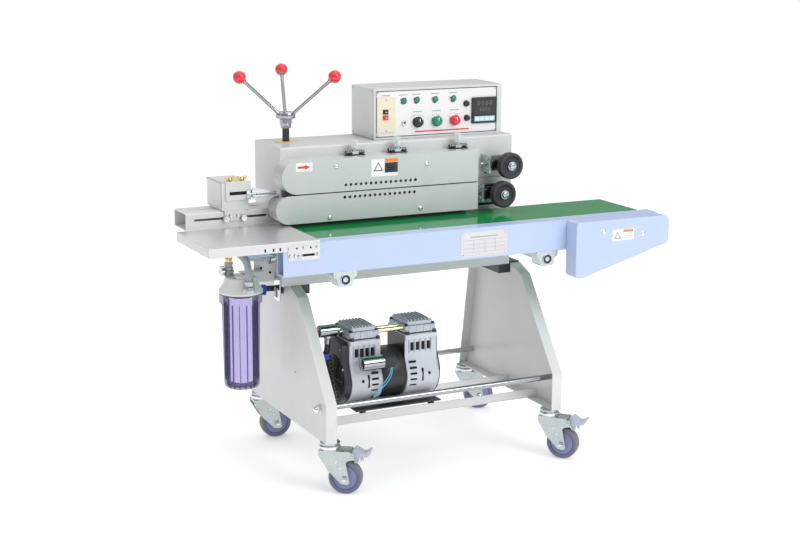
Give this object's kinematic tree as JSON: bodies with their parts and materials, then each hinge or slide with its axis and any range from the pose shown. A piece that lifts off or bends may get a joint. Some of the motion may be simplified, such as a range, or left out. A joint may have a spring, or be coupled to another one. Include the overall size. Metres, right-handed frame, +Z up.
{
  "type": "continuous band sealer",
  "caption": "Continuous band sealer on a wheeled stand, with a sealing head, belt conveyor, control box, lift capstan, gas nozzle slide, twin pump and filter.",
  "frame": {"origin": "on the floor, at the centre of the machine's bounding box", "axes": "+X along the belt's travel, +Y from the operator's side to the back, +Z up"},
  "size_m": [1.329, 0.6288, 1.0903],
  "materials": {
    "stand_paint": "satin",
    "cover_paint": "satin",
    "rail_paint": "satin",
    "panel_plate": "satin",
    "zinc": "satin",
    "chrome": "polished",
    "stainless": "brushed",
    "caster_tread": "matte",
    "black_rubber": "matte",
    "belt_green": "gloss",
    "black_plastic": "gloss",
    "red_plastic": "gloss",
    "green_plastic": "gloss",
    "grey_plastic": "matte",
    "clear_plastic": "gloss",
    "cast_alloy": "cast",
    "steel": "satin",
    "seal_band": "matte",
    "brass": "satin",
    "filter_white": "satin",
    "filter_purple": "gloss",
    "filter_paper": "matte",
    "hose": "satin"
  },
  "bodies": {
    "machine": {"stand_panels": "stand_paint", "stand_crossbars": "stand_paint", "caster_plates": "zinc", "casing": "stand_paint", "rear_cover": "stand_paint", "seal_motor": "grey_plastic", "control_box": "stand_paint", "control_panel": "panel_plate", "upper_cover": "cover_paint", "lower_cover": "cover_paint", "sealing_bands": "seal_band", "heating_blocks": "cast_alloy", "press_arms": "black_plastic", "adjuster_bases": "zinc", "nozzle_rail": "stand_paint", "pump_body": "cast_alloy", "pump_heads": "cast_alloy", "pump_fittings": "chrome", "air_hoses": "hose", "filter_bracket": "zinc", "filter_cap": "filter_white", "filter_bowl": "filter_purple", "filter_cartridge": "filter_paper", "gas_fittings": "brass"},
    "fork_front_left": {"caster_fork_front_left": "zinc"},
    "wheel_front_left": {"caster_wheel_front_left": "caster_tread"},
    "pedal_front_left": {"brake_pedal_front_left": "grey_plastic"},
    "fork_front_right": {"caster_fork_front_right": "zinc"},
    "wheel_front_right": {"caster_wheel_front_right": "caster_tread"},
    "pedal_front_right": {"brake_pedal_front_right": "grey_plastic"},
    "fork_rear_left": {"caster_fork_rear_left": "zinc"},
    "wheel_rear_left": {"caster_wheel_rear_left": "caster_tread"},
    "fork_rear_right": {"caster_fork_rear_right": "zinc"},
    "wheel_rear_right": {"caster_wheel_rear_right": "caster_tread"},
    "conveyor": {"conveyor_frame": "rail_paint", "conveyor_belt": "belt_green", "motor_cover": "rail_paint", "conveyor_motor": "grey_plastic", "infeed_table": "stainless"},
    "drive_roller": {"drive_roller": "steel"},
    "idle_roller": {"idle_roller": "steel"},
    "capstan": {"capstan_handle": "chrome"},
    "lower_pulley_right": {"lower_pulley_right": "steel"},
    "lower_pulley_left": {"lower_pulley_left": "steel"},
    "upper_pulley_right": {"upper_pulley_right": "steel"},
    "upper_pulley_left": {"upper_pulley_left": "steel"},
    "press_wheel_lower": {"press_wheel_lower": "black_rubber"},
    "press_wheel_upper": {"press_wheel_upper": "black_rubber"},
    "pressure_knob_1": {"pressure_knob_1": "clear_plastic"},
    "pressure_knob_2": {"pressure_knob_2": "clear_plastic"},
    "pressure_knob_3": {"pressure_knob_3": "clear_plastic"},
    "selector_knob_1": {"selector_knob_1": "black_plastic"},
    "selector_knob_2": {"selector_knob_2": "green_plastic"},
    "selector_knob_3": {"selector_knob_3": "red_plastic"},
    "toggle_lever": {"toggle_lever": "chrome"},
    "start_button": {"start_button": "black_plastic"},
    "stop_button": {"stop_button": "red_plastic"},
    "nozzle_carriage": {"nozzle_carriage": "stand_paint"},
    "valve_lever": {"valve_lever": "red_plastic"},
    "pump_rotor": {"pump_rotor": "steel"}
  },
  "joints": [
    {"name": "swivel_front_left", "type": "hinge", "parent": "machine", "child": "fork_front_left", "pos_m": [-0.3235, -0.2115, 0.126], "axis": [0, 0, 1], "continuous": true},
    {"name": "roll_front_left", "type": "hinge", "parent": "fork_front_left", "child": "wheel_front_left", "pos_m": [-0.2891, -0.23559, 0.045], "axis": [0.5736, 0.8192, 0], "continuous": true},
    {"name": "brake_front_left", "type": "hinge", "parent": "fork_front_left", "child": "pedal_front_left", "pos_m": [-0.27271, -0.24706, 0.107], "axis": [0.5736, 0.8192, 0], "range_deg": [0, 7]},
    {"name": "swivel_front_right", "type": "hinge", "parent": "machine", "child": "fork_front_right", "pos_m": [0.3525, -0.2115, 0.126], "axis": [0, 0, 1], "continuous": true},
    {"name": "roll_front_right", "type": "hinge", "parent": "fork_front_right", "child": "wheel_front_right", "pos_m": [0.3795, -0.24367, 0.045], "axis": [0.766, 0.6428, 0], "continuous": true},
    {"name": "brake_front_right", "type": "hinge", "parent": "fork_front_right", "child": "pedal_front_right", "pos_m": [0.39235, -0.25899, 0.107], "axis": [0.766, 0.6428, 0], "range_deg": [0, 7]},
    {"name": "swivel_rear_left", "type": "hinge", "parent": "machine", "child": "fork_rear_left", "pos_m": [-0.3235, 0.2845, 0.126], "axis": [0, 0, 1], "continuous": true},
    {"name": "roll_rear_left", "type": "hinge", "parent": "fork_rear_left", "child": "wheel_rear_left", "pos_m": [-0.28166, 0.28084, 0.045], "axis": [0.0872, 0.9962, 0], "continuous": true},
    {"name": "swivel_rear_right", "type": "hinge", "parent": "machine", "child": "fork_rear_right", "pos_m": [0.3525, 0.2845, 0.126], "axis": [0, 0, 1], "continuous": true},
    {"name": "roll_rear_right", "type": "hinge", "parent": "fork_rear_right", "child": "wheel_rear_right", "pos_m": [0.39197, 0.27014, 0.045], "axis": [0.342, 0.9397, 0], "continuous": true},
    {"name": "handle_turn", "type": "hinge", "parent": "machine", "child": "capstan", "pos_m": [-0.3125, 0.1015, 0.964], "axis": [0, 0, 1], "range_deg": [0, 1080]},
    {"name": "conveyor_lift", "type": "slide", "parent": "machine", "child": "conveyor", "axis": [0, 0, 1], "range_m": [-0.03, 0]},
    {"name": "drive_roller_turn", "type": "hinge", "parent": "conveyor", "child": "drive_roller", "pos_m": [0.6275, -0.1115, 0.657], "axis": [0, 1, 0], "continuous": true},
    {"name": "idle_roller_turn", "type": "hinge", "parent": "conveyor", "child": "idle_roller", "pos_m": [-0.4355, -0.1115, 0.657], "axis": [0, 1, 0], "continuous": true},
    {"name": "lower_pulley_right_turn", "type": "hinge", "parent": "machine", "child": "lower_pulley_right", "pos_m": [0.1445, -0.0335, 0.7364], "axis": [0, 1, 0], "continuous": true},
    {"name": "lower_pulley_left_turn", "type": "hinge", "parent": "machine", "child": "lower_pulley_left", "pos_m": [-0.3375, -0.0335, 0.7364], "axis": [0, 1, 0], "continuous": true},
    {"name": "upper_pulley_right_turn", "type": "hinge", "parent": "machine", "child": "upper_pulley_right", "pos_m": [0.1445, -0.0335, 0.8086], "axis": [0, 1, 0], "continuous": true},
    {"name": "upper_pulley_left_turn", "type": "hinge", "parent": "machine", "child": "upper_pulley_left", "pos_m": [-0.3375, -0.0335, 0.8086], "axis": [0, 1, 0], "continuous": true},
    {"name": "press_wheel_lower_turn", "type": "hinge", "parent": "machine", "child": "press_wheel_lower", "pos_m": [0.2665, -0.0735, 0.734], "axis": [0, 1, 0], "continuous": true},
    {"name": "press_wheel_upper_turn", "type": "hinge", "parent": "machine", "child": "press_wheel_upper", "pos_m": [0.2875, -0.0735, 0.813], "axis": [0, 1, 0], "continuous": true},
    {"name": "pressure_knob_1_turn", "type": "hinge", "parent": "machine", "child": "pressure_knob_1", "pos_m": [-0.1655, -0.0235, 0.886], "axis": [0, 0, 1], "range_deg": [-180, 180]},
    {"name": "pressure_knob_2_turn", "type": "hinge", "parent": "machine", "child": "pressure_knob_2", "pos_m": [-0.0385, -0.0235, 0.886], "axis": [0, 0, 1], "range_deg": [-180, 180]},
    {"name": "pressure_knob_3_turn", "type": "hinge", "parent": "machine", "child": "pressure_knob_3", "pos_m": [0.1485, -0.0235, 0.886], "axis": [0, 0, 1], "range_deg": [-180, 180]},
    {"name": "selector_knob_1_turn", "type": "hinge", "parent": "machine", "child": "selector_knob_1", "pos_m": [0.0515, 0.0275, 0.935], "axis": [0, 1, 0], "range_deg": [-45, 45]},
    {"name": "selector_knob_2_turn", "type": "hinge", "parent": "machine", "child": "selector_knob_2", "pos_m": [0.1105, 0.0275, 0.935], "axis": [0, 1, 0], "range_deg": [-45, 45]},
    {"name": "selector_knob_3_turn", "type": "hinge", "parent": "machine", "child": "selector_knob_3", "pos_m": [0.1675, 0.0275, 0.935], "axis": [0, 1, 0], "range_deg": [-45, 45]},
    {"name": "toggle_flip", "type": "hinge", "parent": "machine", "child": "toggle_lever", "pos_m": [0.0095, 0.0345, 0.934], "axis": [1, 0, 0], "range_deg": [-24, 0]},
    {"name": "start_button_press", "type": "slide", "parent": "machine", "child": "start_button", "axis": [0, 1, 0], "range_m": [0, 0.003], "stiffness_N_per_m": 400},
    {"name": "stop_button_press", "type": "slide", "parent": "machine", "child": "stop_button", "axis": [0, 1, 0], "range_m": [0, 0.003], "stiffness_N_per_m": 400},
    {"name": "nozzle_slide", "type": "slide", "parent": "machine", "child": "nozzle_carriage", "axis": [1, 0, 0], "range_m": [-0.072, 0]},
    {"name": "valve_turn", "type": "hinge", "parent": "machine", "child": "valve_lever", "pos_m": [-0.5295, 0.0165, 0.612], "axis": [1, 0, 0], "range_deg": [-90, 0]},
    {"name": "pump_rotor_spin", "type": "hinge", "parent": "machine", "child": "pump_rotor", "pos_m": [-0.0855, -0.0175, 0.251], "axis": [1, 0, 0], "continuous": true}
  ],
  "couplings": [
    {"joint": "conveyor_lift", "follows": "handle_turn", "m_per_rad": -0.0015915},
    {"joint": "idle_roller_turn", "follows": "drive_roller_turn", "ratio": 1},
    {"joint": "lower_pulley_left_turn", "follows": "lower_pulley_right_turn", "ratio": 1},
    {"joint": "upper_pulley_right_turn", "follows": "lower_pulley_right_turn", "ratio": -1},
    {"joint": "upper_pulley_left_turn", "follows": "lower_pulley_right_turn", "ratio": -1},
    {"joint": "press_wheel_upper_turn", "follows": "press_wheel_lower_turn", "ratio": -1}
  ]
}
